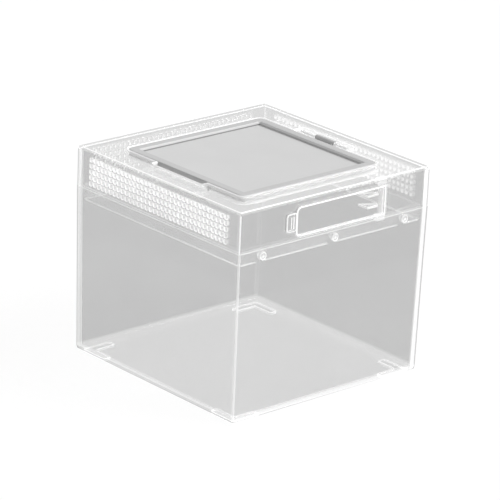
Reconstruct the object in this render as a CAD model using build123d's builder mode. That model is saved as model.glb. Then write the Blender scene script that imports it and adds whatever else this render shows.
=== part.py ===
from build123d import *
import math
import os

# Clear cube-shaped terrarium for a small reptile, in millimetres.
# A clear tub stands on four angled feet. A clear upper section plugs into its rim, with vent holes
# in three walls, a small feeding door in the front wall and a grey hinged lid in the top plate.
# +Z is up and -Y is the front. The origin is the middle of the plane that the feet stand on.

os.makedirs("parts", exist_ok=True)

# Whole box
side = 200.0
height = 177.0
foot_height = 2.0
rim_level = 143.0

# Tub
tub_wall = 3.2
tub_floor = 3.0
tub_draft = 0.77
tub_corner = 2.2
tub_bottom_round = 3.0

# Angled feet under the tub
foot_reach = 94.0
foot_arm = 28.0
foot_width = 8.0
foot_end_round = 2.5

# Upper section
upper_side = 199.2
upper_wall = 3.2
top_thickness = 3.0
top_edge_round = 1.0
upper_corner = 1.2

# Vent grid in the left, right and rear walls
vent_pitch = 5.0
vent_columns = 34
vent_rows = 5
vent_hole = 3.5
vent_level = 158.5

# Skirt that locates the upper section inside the rim
skirt_bottom = 130.8
skirt_top = 144.6
skirt_wall = 2.2
skirt_corner = 4.2
skirt_lead_in = 0.8

# Locating pins in the front of the rim
pin_spacing = 75.0
pin_level = 137.0
pin_radius = 3.5
pin_tip_radius = 0.8
pin_length = 8.0
pin_gap = 0.05
notch_gap = 0.35

# Feeding door
door_left = -41.6
door_bottom = 145.2
door_top = 169.6
door_corner = 4.5
door_gap = 0.4
doorway_right = 56.4
tab_length = 10.0
tab_bottom = 150.4
tab_top = 165.4
tab_corner = 2.6
rib_width = 0.8
rib_height = 0.3
rib_spots = (-47.2, -44.8)

# Hinge of the feeding door
door_axis_x = 51.3
door_axis_y = -95.0
door_barrel_radius = 2.6
door_panel_end = 52.5
arm_levels = {"lower": 152.5, "upper": 162.0}
arm_thickness = 1.8
arm_root_x = 36.0
arm_depth = 11.8
socket_width = 9.0
socket_depth = 4.6
socket_round = 0.8
lower_socket_bottom = 139.5
upper_socket_bottom = 170.2

# Hinge pins, both the same thickness
hinge_pin_radius = 1.0
running_gap = 0.05
fixed_gap = 0.02
pin_end_margin = 0.7

# Lid and the well that it lies in
lid_middle = -1.5
lid_length = 143.0
lid_width = 142.0
lid_bottom = 171.3
lid_top = 176.9
lid_corner = 5.0
lid_border = 7.5
lid_edge_round = 0.6
panel_recess = 3.0
panel_thickness = 1.2
panel_seat = 3.0
panel_gap = 0.1
lid_gap = 0.8
well_wall = 2.0
well_bottom = 169.5
ledge_thickness = 1.5
ledge_width = 4.0
finger_pocket_length = 61.0
finger_pocket_width = 6.2
finger_pocket_floor = 168.5
finger_pocket_base = 1.5
hinge_pocket_length = 62.0
hinge_pocket_width = 10.8
pocket_round = 1.5
well_rib_middle = -58.0
well_rib_length = 12.0
well_rib_thickness = 1.4

# Hinge of the lid
lid_axis_x = 78.5
lid_axis_z = 174.6
lid_barrel_radius = 2.3
lid_barrel_length = 22.4
lid_web_thickness = 1.7
lug_inner = 11.6
lug_outer = 30.3

# Worked-out values
tub_height = rim_level - foot_height
tub_slope = math.tan(math.radians(tub_draft))
tub_bottom_side = side - 2 * tub_height * tub_slope
tub_floor_side = tub_bottom_side + 2 * tub_floor * tub_slope - 2 * tub_wall
floor_level = foot_height + tub_floor
upper_half = upper_side / 2
upper_inner = upper_half - upper_wall
top_underside = height - top_thickness
upper_height = top_underside - rim_level
skirt_inner = upper_inner - skirt_wall
pin_face = side / 2 - (rim_level - pin_level) * tub_slope
pin_spots = [(x, pin_level) for x in (-pin_spacing, 0.0, pin_spacing)]
door_height = door_top - door_bottom
door_level = (door_top + door_bottom) / 2
tab_height = tab_top - tab_bottom
tab_level = (tab_top + tab_bottom) / 2
lower_socket_height = skirt_top - lower_socket_bottom
upper_socket_height = top_underside - upper_socket_bottom
socket_middle_y = -upper_inner + socket_depth / 2
panel_top = lid_top - panel_recess
panel_bottom = panel_top - panel_thickness
window_length = lid_length - 2 * lid_border
window_width = lid_width - 2 * lid_border
seat_length = window_length + 2 * panel_seat
seat_width = window_width + 2 * panel_seat
well_length = lid_length + 2 * lid_gap
well_width = lid_width + 2 * lid_gap
well_left = lid_middle - well_length / 2
well_right = lid_middle + well_length / 2
ledge_level = well_bottom + ledge_thickness
well_front = -well_width / 2 - well_wall
pocket_outer_length = finger_pocket_length + 2 * well_wall
pocket_outer_width = finger_pocket_width + well_wall
lid_right = lid_middle + lid_length / 2


def draw_doorway(gap, right_end, mode):
    """The door's outline with its finger tab, grown by a gap, up to a straight right-hand end."""
    low_left = door_left - gap
    width = right_end - low_left
    with Locations((low_left + width / 2, door_level)):
        RectangleRounded(width, door_height + 2 * gap, door_corner + gap, mode=mode)
    with Locations((right_end - door_corner, door_level)):
        Rectangle(2 * door_corner, door_height + 2 * gap, mode=mode)
    with Locations((door_left, tab_level)):
        RectangleRounded(2 * tab_length + 2 * gap, tab_height + 2 * gap, tab_corner + gap, mode=mode)


def draw_well(grow):
    """The outline of the lid's well with its hinge pocket, grown by an amount."""
    with Locations((lid_middle, 0)):
        RectangleRounded(well_length + 2 * grow, well_width + 2 * grow, lid_corner + lid_gap + grow)
    with Locations((well_right, 0)):
        RectangleRounded(
            2 * hinge_pocket_width + 2 * grow,
            hinge_pocket_length + 2 * grow,
            pocket_round + grow,
        )


def save(part, name):
    """Names a finished piece and writes it to its own file."""
    part.label = name
    export_step(part, f"parts/{name}.step")


# Tub: one clear moulding whose walls lean out a little towards the rim
with BuildPart() as tank_tub:
    with BuildSketch(Plane.XY.offset(foot_height)):
        RectangleRounded(tub_bottom_side, tub_bottom_side, tub_corner)
    extrude(amount=tub_height, taper=-tub_draft)
    fillet(tank_tub.edges().group_by(Axis.Z)[0], radius=tub_bottom_round)
    with BuildSketch(Plane.XY.offset(floor_level)):
        RectangleRounded(tub_floor_side, tub_floor_side, tub_corner)
    extrude(amount=tub_height, taper=-tub_draft, mode=Mode.SUBTRACT)
    with BuildSketch(Plane.XZ.offset(upper_inner - skirt_wall)):
        with Locations(*pin_spots):
            Circle(pin_radius + pin_gap)
    extrude(amount=2 * tub_wall + skirt_wall, mode=Mode.SUBTRACT)
save(tank_tub.part, "tank_tub")

# Four angled feet, each along two edges of the floor
for depth_name, depth_sign in (("front", -1), ("rear", 1)):
    for side_name, side_sign in (("left", -1), ("right", 1)):
        arm_middle = foot_reach - foot_arm / 2
        arm_line = foot_reach - foot_width / 2
        with BuildPart() as corner_foot:
            with BuildSketch():
                with Locations((side_sign * arm_middle, depth_sign * arm_line)):
                    RectangleRounded(foot_arm, foot_width, foot_end_round)
                with Locations((side_sign * arm_line, depth_sign * arm_middle)):
                    RectangleRounded(foot_width, foot_arm, foot_end_round)
            extrude(amount=foot_height)
        save(corner_foot.part, f"foot_{depth_name}_{side_name}")

# Three pins through the front of the rim: a flush round end and a tapered tip inside
with BuildPart() as locating_pins:
    with BuildSketch(Plane.XZ.offset(pin_face)):
        with Locations(*pin_spots):
            Circle(pin_radius)
    extrude(amount=-tub_wall)
    tip_length = pin_length - tub_wall
    tip_taper = math.degrees(math.atan((pin_radius - pin_tip_radius) / tip_length))
    with BuildSketch(Plane.XZ.offset(pin_face - tub_wall)):
        with Locations(*pin_spots):
            Circle(pin_radius)
    extrude(amount=-tip_length, taper=tip_taper)
save(locating_pins.part, "locating_pins")

# Skirt: a thin ring inside the rim, notched over the pins and cut away for the lower hinge socket
with BuildPart() as locating_skirt:
    with BuildSketch(Plane.XY.offset(skirt_bottom)):
        RectangleRounded(2 * upper_inner, 2 * upper_inner, skirt_corner)
    extrude(amount=skirt_top - skirt_bottom)
    chamfer(locating_skirt.edges().group_by(Axis.Z)[0], length=skirt_lead_in)
    with BuildSketch(Plane.XY.offset(skirt_bottom)):
        RectangleRounded(2 * skirt_inner, 2 * skirt_inner, skirt_corner - skirt_wall)
    extrude(amount=skirt_top - skirt_bottom, mode=Mode.SUBTRACT)
    notch_radius = pin_radius + notch_gap
    with BuildSketch(Plane.XZ.offset(skirt_inner - skirt_wall)):
        with Locations(*pin_spots):
            Circle(notch_radius)
        with Locations(*[(x, level - notch_radius) for x, level in pin_spots]):
            Rectangle(2 * notch_radius, 2 * notch_radius)
        with Locations((door_axis_x, lower_socket_bottom + lower_socket_height / 2)):
            Rectangle(socket_width + 2 * notch_gap, lower_socket_height + 2 * notch_gap)
    extrude(amount=3 * skirt_wall, mode=Mode.SUBTRACT)
save(locating_skirt.part, "locating_skirt")

# Front wall of the upper section, with the doorway
with BuildPart() as upper_front_wall:
    with BuildSketch(Plane.XZ.offset(upper_inner)):
        with Locations((0, rim_level + upper_height / 2)):
            Rectangle(upper_side, upper_height)
        draw_doorway(door_gap, doorway_right, Mode.SUBTRACT)
    extrude(amount=upper_wall)
    outer_corners = upper_front_wall.edges().filter_by(Axis.Z).group_by(Axis.Y)[0]
    fillet(outer_corners.sort_by(Axis.X)[0], radius=upper_corner)
    outer_corners = upper_front_wall.edges().filter_by(Axis.Z).group_by(Axis.Y)[0]
    fillet(outer_corners.sort_by(Axis.X)[-1], radius=upper_corner)
save(upper_front_wall.part, "upper_front_wall")

# Rear wall, as wide as the front one, with its grid of vent holes
with BuildPart() as upper_rear_vent_wall:
    with BuildSketch(Plane.XZ.offset(-upper_half)):
        with Locations((0, rim_level + upper_height / 2)):
            Rectangle(upper_side, upper_height)
    extrude(amount=upper_wall)
    outer_corners = upper_rear_vent_wall.edges().filter_by(Axis.Z).group_by(Axis.Y)[-1]
    fillet(outer_corners, radius=upper_corner)
    with BuildSketch(Plane.XZ.offset(-upper_half)):
        with Locations((0, vent_level)):
            with GridLocations(vent_pitch, vent_pitch, vent_columns, vent_rows):
                Rectangle(vent_hole, vent_hole)
    extrude(amount=upper_wall, mode=Mode.SUBTRACT)
save(upper_rear_vent_wall.part, "upper_rear_vent_wall")

# Left and right walls stand between the front and rear ones, each with the same grid of holes
for side_name, wall_start in (("left", -upper_half), ("right", upper_inner)):
    with BuildPart() as upper_vent_wall:
        with BuildSketch(Plane.YZ.offset(wall_start)):
            with Locations((0, rim_level + upper_height / 2)):
                Rectangle(2 * upper_inner, upper_height)
            with Locations((0, vent_level)):
                with GridLocations(vent_pitch, vent_pitch, vent_columns, vent_rows):
                    Rectangle(vent_hole, vent_hole, mode=Mode.SUBTRACT)
        extrude(amount=upper_wall)
    save(upper_vent_wall.part, f"upper_{side_name}_vent_wall")

# Top plate, opened for the lid, the finger pocket and the hinge pocket
with BuildPart() as top_plate:
    with BuildSketch(Plane.XY.offset(top_underside)):
        RectangleRounded(upper_side, upper_side, upper_corner)
    extrude(amount=top_thickness)
    fillet(top_plate.edges().group_by(Axis.Z)[-1], radius=top_edge_round)
    with BuildSketch(Plane.XY.offset(top_underside)):
        draw_well(0)
        with Locations((well_left, 0)):
            RectangleRounded(2 * finger_pocket_width, finger_pocket_length, pocket_round)
    extrude(amount=top_thickness, mode=Mode.SUBTRACT)
save(top_plate.part, "top_plate")

# Well under the top plate: a thin wall with a ledge for the lid and a floor under the hinge pocket
with BuildPart() as lid_well:
    with BuildSketch(Plane.XY.offset(well_bottom)):
        draw_well(well_wall)
    extrude(amount=top_underside - well_bottom)
    with BuildSketch(Plane.XY.offset(ledge_level)):
        draw_well(0)
    extrude(amount=top_underside - ledge_level, mode=Mode.SUBTRACT)
    with BuildSketch(Plane.XY.offset(well_bottom)):
        with Locations((lid_middle, 0)):
            RectangleRounded(
                well_length - 2 * ledge_width,
                well_width - 2 * ledge_width,
                lid_corner + lid_gap - ledge_width,
            )
    extrude(amount=ledge_thickness, mode=Mode.SUBTRACT)
    with BuildSketch(Plane.XY.offset(well_bottom)):
        with Locations((well_left - well_wall / 2, 0)):
            Rectangle(well_wall, pocket_outer_length)
    extrude(amount=top_underside - well_bottom, mode=Mode.SUBTRACT)
    with BuildSketch(Plane.XY.offset(well_bottom)):
        with Locations((well_rib_middle, well_front - well_rib_thickness / 2)):
            Rectangle(well_rib_length, well_rib_thickness)
    extrude(amount=top_underside - well_bottom)
save(lid_well.part, "lid_well")

# Finger pocket beside the well: a deeper trough, open towards the lid above the ledge
with BuildPart() as finger_pocket:
    with BuildSketch(Plane.XY.offset(finger_pocket_floor - finger_pocket_base)):
        with Locations((well_left - pocket_outer_width / 2, 0)):
            Rectangle(pocket_outer_width, pocket_outer_length)
    extrude(amount=top_underside - finger_pocket_floor + finger_pocket_base)
    outer_corners = finger_pocket.edges().filter_by(Axis.Z).group_by(Axis.X)[0]
    fillet(outer_corners, radius=pocket_round)
    with BuildSketch(Plane.XY.offset(finger_pocket_floor)):
        with Locations((well_left, 0)):
            RectangleRounded(2 * finger_pocket_width, finger_pocket_length, pocket_round)
    extrude(amount=top_underside - finger_pocket_floor, mode=Mode.SUBTRACT)
    with BuildSketch(Plane.XY.offset(finger_pocket_floor - finger_pocket_base)):
        with Locations((well_left + finger_pocket_base / 2, 0)):
            Rectangle(finger_pocket_base, pocket_outer_length)
    extrude(amount=well_bottom - finger_pocket_floor + finger_pocket_base)
save(finger_pocket.part, "finger_pocket")

# Two clear lugs in the hinge pocket, round-topped, bored for the pin
for depth_name, depth_sign in (("front", -1), ("rear", 1)):
    lug_start = lug_inner if depth_sign < 0 else -lug_outer
    lug_base_height = lid_axis_z - ledge_level
    with BuildPart() as lid_hinge_lug:
        with BuildSketch(Plane.XZ.offset(lug_start)):
            with Locations((lid_axis_x, lid_axis_z)):
                Circle(lid_barrel_radius)
            with Locations((lid_axis_x, ledge_level + lug_base_height / 2)):
                Rectangle(2 * lid_barrel_radius, lug_base_height)
            with Locations((lid_axis_x, lid_axis_z)):
                Circle(hinge_pin_radius + fixed_gap, mode=Mode.SUBTRACT)
        extrude(amount=lug_outer - lug_inner)
    save(lid_hinge_lug.part, f"lid_hinge_lug_{depth_name}")

# Pin of the lid's hinge
with BuildPart() as lid_hinge_pin:
    with BuildSketch(Plane.XZ.offset(-lug_outer + pin_end_margin)):
        with Locations((lid_axis_x, lid_axis_z)):
            Circle(hinge_pin_radius)
    extrude(amount=2 * (lug_outer - pin_end_margin))
save(lid_hinge_pin.part, "lid_hinge_pin")

# Lid frame: a grey ring with a deep window and a seat for the panel on its underside
with BuildPart() as lid_frame:
    with BuildSketch(Plane.XY.offset(lid_bottom)):
        with Locations((lid_middle, 0)):
            RectangleRounded(lid_length, lid_width, lid_corner)
            Rectangle(window_length, window_width, mode=Mode.SUBTRACT)
    extrude(amount=lid_top - lid_bottom)
    fillet(lid_frame.edges().group_by(Axis.Z)[-1], radius=lid_edge_round)
    with BuildSketch(Plane.XY.offset(lid_bottom)):
        with Locations((lid_middle, 0)):
            Rectangle(seat_length, seat_width)
    extrude(amount=panel_top - lid_bottom, mode=Mode.SUBTRACT)
save(lid_frame.part, "lid_frame")

# Panel: a thin matt grey sheet that fills the window
with BuildPart() as lid_panel:
    with BuildSketch(Plane.XY.offset(panel_bottom)):
        with Locations((lid_middle, 0)):
            Rectangle(seat_length - 2 * panel_gap, seat_width - 2 * panel_gap)
    extrude(amount=panel_thickness)
save(lid_panel.part, "lid_panel")

# Clamp ring that holds the panel up in its seat
with BuildPart() as panel_clamp_ring:
    with BuildSketch(Plane.XY.offset(lid_bottom)):
        with Locations((lid_middle, 0)):
            Rectangle(seat_length - 2 * panel_gap, seat_width - 2 * panel_gap)
            Rectangle(window_length, window_width, mode=Mode.SUBTRACT)
    extrude(amount=panel_bottom - lid_bottom)
save(panel_clamp_ring.part, "panel_clamp_ring")

# Barrel between the lugs, on a low web that starts at the lid frame's side
with BuildPart() as lid_hinge_barrel:
    web_length = lid_axis_x - lid_right
    with BuildSketch(Plane.XZ.offset(-lid_barrel_length / 2)):
        with Locations((lid_axis_x, lid_axis_z)):
            Circle(lid_barrel_radius)
        with Locations((lid_right + web_length / 2, lid_bottom + lid_web_thickness / 2)):
            Rectangle(web_length, lid_web_thickness)
        with Locations((lid_axis_x, lid_axis_z)):
            Circle(hinge_pin_radius + running_gap, mode=Mode.SUBTRACT)
    extrude(amount=lid_barrel_length)
save(lid_hinge_barrel.part, "lid_hinge_barrel")

# Feeding door: a clear panel in the plane of the front wall, hollowed at its end round the barrel
with BuildPart() as door_panel:
    with BuildSketch(Plane.XZ.offset(upper_inner)):
        draw_doorway(0, door_panel_end, Mode.ADD)
        with Locations((door_left - tab_length / 2, tab_level)):
            Rectangle(tab_length, tab_height, mode=Mode.SUBTRACT)
    extrude(amount=upper_wall)
    with BuildSketch(Plane.XY.offset(door_bottom)):
        with Locations((door_axis_x, door_axis_y)):
            Circle(door_barrel_radius)
    extrude(amount=door_height, mode=Mode.SUBTRACT)
save(door_panel.part, "door_panel")

# Finger tab at the door's free end, with two grip ribs
with BuildPart() as door_finger_tab:
    with BuildSketch(Plane.XZ.offset(upper_inner)):
        with Locations((door_left, tab_level)):
            RectangleRounded(2 * tab_length, tab_height, tab_corner)
        with Locations((door_left + tab_length / 2, tab_level)):
            Rectangle(tab_length, tab_height, mode=Mode.SUBTRACT)
    extrude(amount=upper_wall)
    with BuildSketch(Plane.XZ.offset(upper_half)):
        with Locations(*[(x, tab_level) for x in rib_spots]):
            Rectangle(rib_width, tab_height - 2 * tab_corner)
    extrude(amount=rib_height)
save(door_finger_tab.part, "door_finger_tab")

# Barrel along the door's hinged end
with BuildPart() as door_hinge_barrel:
    with BuildSketch(Plane.XY.offset(door_bottom)):
        with Locations((door_axis_x, door_axis_y)):
            Circle(door_barrel_radius)
            Circle(hinge_pin_radius + running_gap, mode=Mode.SUBTRACT)
    extrude(amount=door_height)
save(door_hinge_barrel.part, "door_hinge_barrel")

# Two flat three-cornered arms behind the door, from its inner face to the barrel
for arm_name, arm_level in arm_levels.items():
    with BuildPart() as door_arm:
        with BuildSketch(Plane.XY.offset(arm_level - arm_thickness / 2)):
            with BuildLine():
                Polyline(
                    (arm_root_x, -upper_inner),
                    (door_panel_end - door_barrel_radius, -upper_inner),
                    (door_axis_x, door_axis_y),
                    (door_axis_x, door_axis_y + door_barrel_radius),
                    (arm_root_x, -upper_inner + arm_depth),
                    close=True,
                )
            make_face()
            with Locations((door_axis_x, door_axis_y)):
                Circle(door_barrel_radius, mode=Mode.SUBTRACT)
        extrude(amount=arm_thickness)
    save(door_arm.part, f"door_arm_{arm_name}")

# Pin of the door's hinge, held in a socket at each end
with BuildPart() as door_hinge_pin:
    with BuildSketch(Plane.XY.offset(lower_socket_bottom + pin_end_margin)):
        with Locations((door_axis_x, door_axis_y)):
            Circle(hinge_pin_radius)
    extrude(amount=top_underside - lower_socket_bottom - 2 * pin_end_margin)
save(door_hinge_pin.part, "door_hinge_pin")

# Sockets on the inner face of the front wall, below and above the door
sockets = (
    ("lower", lower_socket_bottom, lower_socket_height, lower_socket_bottom + pin_end_margin),
    ("upper", upper_socket_bottom, upper_socket_height, upper_socket_bottom),
)
for socket_name, socket_level, socket_height, bore_level in sockets:
    with BuildPart() as door_socket:
        with BuildSketch(Plane.XY.offset(socket_level)):
            with Locations((door_axis_x, socket_middle_y)):
                Rectangle(socket_width, socket_depth)
        extrude(amount=socket_height)
        inner_edges = door_socket.edges().filter_by(Axis.Z).group_by(Axis.Y)[-1]
        fillet(inner_edges, radius=socket_round)
        with BuildSketch(Plane.XY.offset(bore_level)):
            with Locations((door_axis_x, door_axis_y)):
                Circle(hinge_pin_radius + fixed_gap)
        extrude(amount=socket_height - pin_end_margin, mode=Mode.SUBTRACT)
    save(door_socket.part, f"door_socket_{socket_name}")
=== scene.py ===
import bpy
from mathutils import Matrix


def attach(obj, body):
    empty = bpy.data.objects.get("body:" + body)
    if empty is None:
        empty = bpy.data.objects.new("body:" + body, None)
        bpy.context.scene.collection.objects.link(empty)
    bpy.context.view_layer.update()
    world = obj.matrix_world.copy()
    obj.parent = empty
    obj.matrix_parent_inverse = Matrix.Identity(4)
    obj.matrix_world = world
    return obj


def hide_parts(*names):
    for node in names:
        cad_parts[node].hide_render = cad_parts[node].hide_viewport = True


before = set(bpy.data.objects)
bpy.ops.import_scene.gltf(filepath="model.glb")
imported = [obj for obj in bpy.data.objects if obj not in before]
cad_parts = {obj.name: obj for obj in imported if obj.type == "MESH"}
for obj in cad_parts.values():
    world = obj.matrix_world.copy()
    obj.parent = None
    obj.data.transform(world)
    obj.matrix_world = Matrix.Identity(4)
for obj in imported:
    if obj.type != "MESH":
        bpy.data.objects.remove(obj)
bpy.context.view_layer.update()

import math

import bpy
import numpy as np
from mathutils import Matrix, Vector
from mathutils.geometry import tessellate_polygon

# Looks of a clear reptile terrarium. Sizes are in millimetres and become metres in put_piece.
MM = 0.001
TINY = 1e-6
ARC_STEPS = 5
EDGE_STEPS = 3
FADE = 0.5


def reach_of(node):
    """The lowest and the highest corner of one of the model's pieces, to a thousandth of a millimetre."""
    corners = np.array(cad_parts[node].bound_box) / MM
    return corners.min(0).round(3).tolist(), corners.max(0).round(3).tolist()


# Whole box. The joint gap keeps faces that would touch each other a little apart
tub_low, tub_high = reach_of("tank_tub")
top_low, top_high = reach_of("top_plate")
HALF = tub_high[0]
FOOT_TOP = tub_low[2]
RIM = tub_high[2]
TOP_UNDERSIDE = top_low[2]
TOP = top_high[2]
UPPER_HALF = top_high[0]
WALL = 3.2
UPPER_INNER = UPPER_HALF - WALL
TOP_CORNER = 1.2
FRONT_CORNER = 0.9
LEAN = math.tan(math.radians(0.77))
JOINT_GAP = 0.06
JOINT_LOW = RIM + JOINT_GAP
JOINT_HIGH = TOP_UNDERSIDE - JOINT_GAP

# Tub, with the whiteness of its edges, which is painted highlight, and a painted dark line on its bottom
# rounding
FLOOR = 5.0
BOTTOM_ROUND = 2.0
RIM_ROUND = 0.4
RIM_FLAT = 1.2
FLOOR_ROUND = 0.4
OUTER_CORNER = 1.2
BOTTOM_CORNER = 1.8
INNER_CORNERS = (2.4, 0.9, 0.9, 0.9)
BOTTOM_LINE = -0.3
BOTTOM_WHITE = 0.4
RIM_WHITE = 0.35
FLOOR_WHITE = 0.8
BETWEEN_CORNERS = 96.6

# Feet, whose reach is that of the front left one, and locating pins
foot_low, foot_high = reach_of("foot_front_left")
FOOT_REACH = foot_low[0]
FOOT_END = foot_high[0]
FOOT_WIDTH = 8.0
FOOT_CORNER = 2.5
FOOT_BEND = 0.6
PIN_PLACES = (-75.0, 0.0, 75.0)
PIN_LEVEL = 137.0
PIN_FACE = -99.92

# Vent walls
VENT_PITCH = 5.0
VENT_COLUMNS = 34
VENT_ROWS = 5
VENT_LEVEL = 158.5
VENT_EDGE = 0.4
HOLE_CORNER = 0.45
HOLE_STEPS = 3
HOLE_POINTS = 4 * HOLE_STEPS

# Lid, its window, the seat of its sheet and the well that it lies in. A pocket's two lengths are how far it
# reaches out of the well and half its width
lid_low, lid_high = reach_of("lid_frame")
sheet_low, sheet_high = reach_of("lid_panel")
LID_MIDDLE = (lid_low[0] + lid_high[0]) / 2
LID_HALF = (lid_high[0] - LID_MIDDLE, lid_high[1])
LID_LOW = lid_low[2]
LID_TOP = lid_high[2]
LID_CORNER = 5.0
LID_ROUND = 0.7
LID_BORDER = 7.5
WINDOW_CORNER = 1.0
SEAT_BORDER = 4.5
SEAT_CORNER = 0.6
SHEET_BORDER = 4.7
SHEET_CORNER = 0.5
SHEET_GAP = 0.05
WINDOW_HALF = (LID_HALF[0] - LID_BORDER, LID_HALF[1] - LID_BORDER)
SEAT_HALF = (LID_HALF[0] - SEAT_BORDER, LID_HALF[1] - SEAT_BORDER)
SHEET_HALF = (LID_HALF[0] - SHEET_BORDER, LID_HALF[1] - SHEET_BORDER)
PANEL_LOW = sheet_low[2]
PANEL_TOP = sheet_high[2]
LID_GAP = 0.8
WELL_CORNER = 5.8
POCKET_BEND = 0.55
POCKET_CORNER = 1.5
FINGER_POCKET = (6.2, 30.5)
HINGE_POCKET = (10.8, 31.0)

# Feeding door with its tab and arms
leaf_low, leaf_high = reach_of("door_panel")
grip_low, grip_high = reach_of("door_finger_tab")
DOOR_LEFT = leaf_low[0]
DOOR_END = leaf_high[0]
DOOR_LOW = leaf_low[2]
DOOR_HIGH = leaf_high[2]
DOOR_CORNER = 4.5
DOOR_GAP = 0.4
DOORWAY_RIGHT = 56.4
SHARP_CORNER = 0.3
TAB_LOW = grip_low[2]
TAB_HIGH = grip_high[2]
TAB_LENGTH = DOOR_LEFT - grip_low[0]
TAB_CORNER = 2.6
RIB_PLACES = (-47.2, -44.8)
RIB_HALF = 0.4
RIB_CORNER = 0.39
RIB_FOOT = 0.02
RIB_TOP = 0.3
ARM_LEVELS = {"lower": 152.5, "upper": 162.0}
ARM_HALF = 0.9
ARM_CORNERS = ((36.0, -96.3), (47.4, -96.3), (49.0, -93.6), (50.4, -92.35), (36.0, -84.7))
ARM_RADII = (0.3, 0.3, 1.0, 0.3, 0.5)


# Shapes


def outline(points, radii, inset=0.0, steps=ARC_STEPS):
    """A closed loop with rounded corners.

    Every side of the polygon moves inwards by the inset, the new corners are where neighbouring sides meet,
    and each corner is an arc between the two points at radius times tan(half the turn) from it. A corner
    that turns left loses the inset from its radius and one that turns right gains it.
    """
    smallest_radius = 0.05
    p = np.asarray(points, float)
    before = p - np.roll(p, 1, 0)
    after = np.roll(p, -1, 0) - p
    u = before / np.linalg.norm(before, axis=1, keepdims=True)
    v = after / np.linalg.norm(after, axis=1, keepdims=True)
    left_u = np.stack([-u[:, 1], u[:, 0]], 1)
    left_v = np.stack([-v[:, 1], v[:, 0]], 1)
    corner = p + inset * (left_u + left_v) / (1 + (left_u * left_v).sum(1))[:, None]
    turn = np.arctan2(u[:, 0] * v[:, 1] - u[:, 1] * v[:, 0], (u * v).sum(1))
    radius = np.maximum(np.asarray(radii, float) - inset * np.sign(turn), smallest_radius)
    reach = radius * np.tan(np.abs(turn) / 2)
    centre = corner - u * reach[:, None] + left_u * (np.sign(turn) * radius)[:, None]
    first = np.arctan2(-np.sign(turn) * left_u[:, 1], -np.sign(turn) * left_u[:, 0])
    share = np.linspace(0, 1, steps)
    angle = first[:, None] + turn[:, None] * share[None, :]
    arc = np.stack([np.cos(angle), np.sin(angle)], 2) * radius[:, None, None]
    return (centre[:, None, :] + arc).reshape(-1, 2)


def rectangle(x0, x1, y0, y1):
    """The four corners of a rectangle, anticlockwise."""
    return [(x0, y0), (x1, y0), (x1, y1), (x0, y1)]


def edge_profile(low, high, rounding, band=0.0, side=0.0, under=1.0, over=1.0, fade=FADE):
    """Rows of (inset, height, whiteness) from the upper face over a rounded edge to the lower face.

    The edge is two quarter circles joined by a straight side. The upper arc, the lower arc and the side have
    a whiteness of their own, which is painted highlight, a band beside the arcs can be as white as they are,
    and the white fades out over a short way on each face.
    """
    turn = np.linspace(0, math.pi / 2, EDGE_STEPS + 1)
    inset = rounding * (1 - np.sin(turn))
    drop = rounding * (1 - np.cos(turn))
    beyond = max(band, rounding) + fade
    rows = [(beyond, high, 0.0)]
    if band > rounding:
        rows.append((band, high, over))
    rows += [(i, high - d, over) for i, d in zip(inset, drop)]
    if high - low > 2.1 * (rounding + fade):
        rows += [(0.0, high - rounding - fade, side), (0.0, low + rounding + fade, side)]
    rows += [(i, low + d, under) for i, d in zip(inset[::-1], drop[::-1])]
    if band > rounding:
        rows.append((band, low, under))
    rows.append((beyond, low, 0.0))
    return rows


def skin(count, size, first=0, closed=False, inward=False):
    """Quads between neighbouring rings of equal size, whose points start at an index."""
    a = np.arange(count if closed else count - 1)[:, None] * size
    b = (a + size) % (count * size)
    k = np.arange(size)[None, :]
    n = (k + 1) % size
    quads = np.stack([a + k, b + k, b + n, a + n], 2).reshape(-1, 4) + first
    return quads[:, ::-1] if inward else quads


def fill(loops, upward):
    """Triangles over the flat face inside the first loop and outside the others, facing up or down."""
    smallest_area = 1e-9
    flat = [[Vector((x, y, 0)) for x, y in loop] for loop in loops]
    triangles = np.array(tessellate_polygon(flat))
    at = np.concatenate(loops)
    a, b, c = at[triangles[:, 0]], at[triangles[:, 1]], at[triangles[:, 2]]
    area = (b[:, 0] - a[:, 0]) * (c[:, 1] - a[:, 1]) - (b[:, 1] - a[:, 1]) * (c[:, 0] - a[:, 0])
    real = np.abs(area) > smallest_area
    triangles = triangles[real]
    turned = (area[real] > 0) != upward
    triangles[turned] = triangles[turned][:, ::-1]
    return triangles


def slab(outer, holes, low, high, rounding=0.5, edge=None, hole_edge=None):
    """Points, faces and whiteness of a flat plate with rounded edges, lying in its own plane.

    Each outline is carried along the edge profile, and the two faces are filled between the last rows.
    An outline is a pair of corner points and corner radii. An edge holds values of edge_profile by name.
    """
    points, faces, white = [], [], []
    upper, lower, upper_at, lower_at = [], [], [], []
    start = 0
    for number, (corners, radii) in enumerate([outer] + list(holes)):
        hole = number > 0
        rows = edge_profile(low, high, rounding, **((hole_edge if hole else edge) or {}))
        loops = [outline(corners, radii, -inset if hole else inset) for inset, _, _ in rows]
        size = len(loops[0])
        for loop, (_, height, whiteness) in zip(loops, rows):
            points.append(np.column_stack([loop, np.full(size, height)]))
            white.append(np.full(size, whiteness))
        faces += skin(len(rows), size, start, inward=hole).tolist()
        upper.append(loops[0])
        lower.append(loops[-1])
        upper_at.append(start + np.arange(size))
        lower_at.append(start + (len(rows) - 1) * size + np.arange(size))
        start += len(rows) * size
    faces += np.concatenate(upper_at)[fill(upper, True)].tolist()
    faces += np.concatenate(lower_at)[fill(lower, False)].tolist()
    return np.concatenate(points), faces, np.concatenate(white)


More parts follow.
